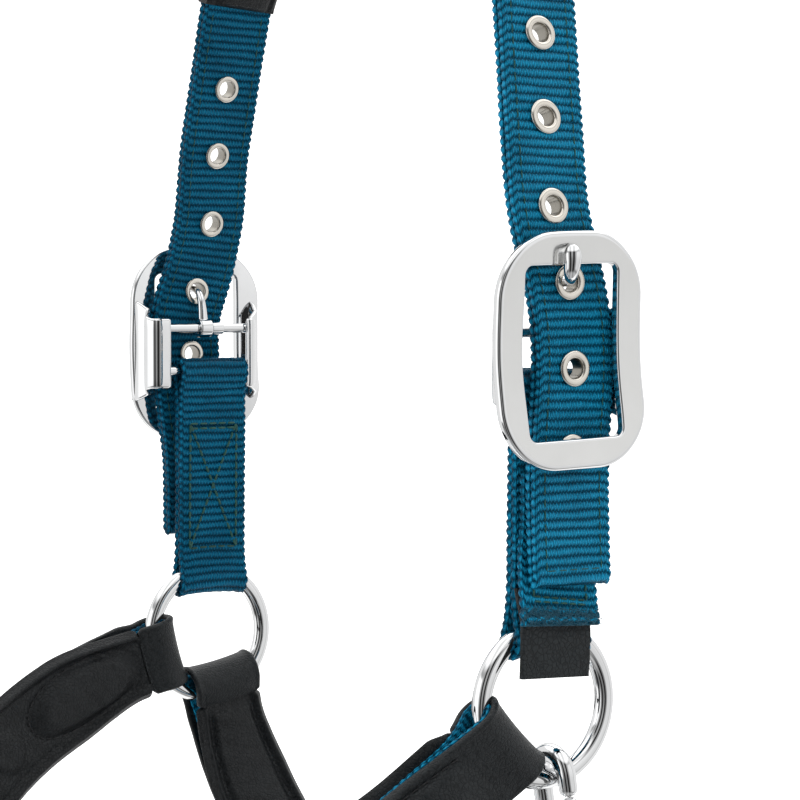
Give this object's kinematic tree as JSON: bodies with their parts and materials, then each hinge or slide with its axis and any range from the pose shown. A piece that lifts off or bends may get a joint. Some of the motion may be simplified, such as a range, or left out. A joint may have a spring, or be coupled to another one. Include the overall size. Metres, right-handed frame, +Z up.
{
  "type": "head halter",
  "caption": "Full-size horse halter: doubled webbing crown with a padded sleeve and buckles, leather-covered cheek straps and noseband, rings, throat strap and bolt snap.",
  "frame": {"origin": "midway between the centres of the two upper rings, on the line the crown swings about", "axes": "+X to the rear of the head, +Y to the far (off) side, +Z up towards the poll"},
  "size_m": [0.2937, 0.2238, 0.5235],
  "materials": {
    "webbing": "ribbed nylon webbing, matte",
    "leather": "fine-grained black, satin",
    "lining": "soft padded black, matte",
    "chrome": "bright polished plate",
    "nickel": "warm nickel plate",
    "spring_steel": "plain drawn wire"
  },
  "bodies": {
    "cheek_straps": {"near_cheek_core": "webbing", "near_cheek_cover": "leather", "near_cheek_lining": "lining", "far_cheek_core": "webbing", "far_cheek_cover": "leather", "far_cheek_lining": "lining"},
    "crown": {"crown_strap": "webbing", "crown_pad": "leather", "near_buckle_frame": "chrome", "far_buckle_frame": "chrome", "near_cheek_loop": "webbing", "far_cheek_loop": "webbing", "near_leather_tab": "leather", "far_eyelet_1": "nickel", "far_eyelet_2": "nickel", "far_eyelet_3": "nickel", "far_eyelet_4": "nickel", "far_eyelet_5": "nickel", "far_eyelet_6": "nickel", "near_eyelet_1": "nickel", "near_eyelet_2": "nickel", "near_eyelet_3": "nickel", "near_eyelet_4": "nickel", "near_eyelet_5": "nickel", "near_eyelet_6": "nickel"},
    "near_upper_ring": {"near_upper_ring": "chrome"},
    "far_upper_ring": {"far_upper_ring": "chrome"},
    "near_side_ring": {"near_side_ring": "chrome"},
    "far_side_ring": {"far_side_ring": "chrome"},
    "near_tongue": {"near_buckle_tongue": "chrome"},
    "far_tongue": {"far_buckle_tongue": "chrome"},
    "noseband": {"noseband_core": "webbing", "noseband_cover": "leather", "noseband_lining": "lining", "near_chin_strap": "webbing", "far_chin_strap": "webbing"},
    "lead_ring": {"lead_ring": "chrome"},
    "connector": {"connector_strap": "webbing"},
    "throat": {"throat_core": "webbing", "throat_cover": "leather", "snap_swivel_eye": "chrome"},
    "snap_body": {"snap_hook": "chrome", "snap_bolt_spring": "spring_steel"},
    "snap_bolt": {"snap_bolt": "chrome"}
  },
  "joints": [
    {"name": "crown_swing", "type": "hinge", "parent": "cheek_straps", "child": "crown", "pos_m": [0, 0, 0], "axis": [0, 1, 0], "range_deg": [-5, 25]},
    {"name": "near_upper_ring_spin", "type": "hinge", "parent": "cheek_straps", "child": "near_upper_ring", "pos_m": [0, -0.095, 0], "axis": [0, 1, 0], "continuous": true},
    {"name": "far_upper_ring_spin", "type": "hinge", "parent": "cheek_straps", "child": "far_upper_ring", "pos_m": [0, 0.095, 0], "axis": [0, 1, 0], "continuous": true},
    {"name": "near_side_ring_spin", "type": "hinge", "parent": "cheek_straps", "child": "near_side_ring", "pos_m": [-0.141, -0.08, -0.085], "axis": [0, 1, 0], "continuous": true},
    {"name": "far_side_ring_spin", "type": "hinge", "parent": "cheek_straps", "child": "far_side_ring", "pos_m": [-0.141, 0.08, -0.085], "axis": [0, 1, 0], "continuous": true},
    {"name": "near_tongue_lift", "type": "hinge", "parent": "crown", "child": "near_tongue", "pos_m": [0, -0.0934, 0.1025], "axis": [1, 0, 0], "range_deg": [0, 4]},
    {"name": "far_tongue_lift", "type": "hinge", "parent": "crown", "child": "far_tongue", "pos_m": [0, 0.0934, 0.1025], "axis": [-1, 0, 0], "range_deg": [0, 4]},
    {"name": "noseband_tilt", "type": "hinge", "parent": "cheek_straps", "child": "noseband", "pos_m": [-0.141, 0, -0.085], "axis": [0, -1, 0], "range_deg": [-3, 8]},
    {"name": "throat_swing", "type": "hinge", "parent": "cheek_straps", "child": "throat", "pos_m": [0, 0, 0], "axis": [0, -1, 0], "range_deg": [-3, 8]},
    {"name": "connector_swing", "type": "hinge", "parent": "noseband", "child": "connector", "pos_m": [-0.09417, 0, -0.2009], "axis": [0, -1, 0], "range_deg": [-8, 3]},
    {"name": "lead_ring_spin", "type": "hinge", "parent": "noseband", "child": "lead_ring", "pos_m": [-0.11644, 0, -0.21432], "axis": [-0.5163, 0, 0.8564], "continuous": true},
    {"name": "snap_swivel", "type": "hinge", "parent": "throat", "child": "snap_body", "pos_m": [0.01042, -0.095, -0.05909], "axis": [0.1736, 0, -0.9848], "range_deg": [-20, 20]},
    {"name": "snap_bolt_slide", "type": "slide", "parent": "snap_body", "child": "snap_bolt", "axis": [0.1736, 0, -0.9848], "range_m": [0, 0.007], "stiffness_N_per_m": 250, "deforming": ["snap_bolt_spring"]}
  ],
  "couplings": [
    {"joint": "throat_swing", "follows": "noseband_tilt", "ratio": 1},
    {"joint": "connector_swing", "follows": "noseband_tilt", "ratio": -1}
  ]
}
